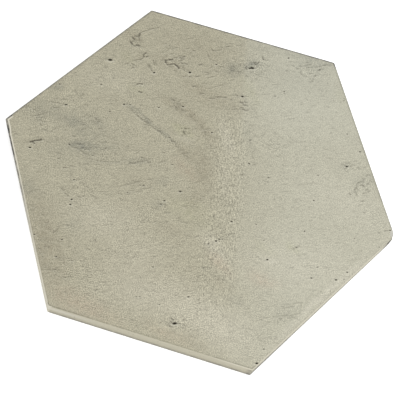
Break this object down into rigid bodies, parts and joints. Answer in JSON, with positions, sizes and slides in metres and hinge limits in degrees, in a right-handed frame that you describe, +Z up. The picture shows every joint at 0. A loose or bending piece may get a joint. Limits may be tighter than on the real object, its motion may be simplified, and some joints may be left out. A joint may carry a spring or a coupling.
{
  "type": "hexagon floor tile",
  "caption": "Regular hexagonal porcelain floor tile with a flat concrete-look face, eased arrises and a honeycomb bonding key pressed into its back.",
  "frame": {"origin": "middle of the back, on the plane that the tile rests on", "axes": "+Z up through the walking face; two points of the hexagon lie on the X axis, and two flats are square to Y. The chipped point is at +X"},
  "size_m": [0.2018, 0.175, 0.009],
  "materials": {
    "porcelain": "matte"
  },
  "bodies": {
    "root": {"hexagon_tile": "porcelain"}
  },
  "joints": []
}
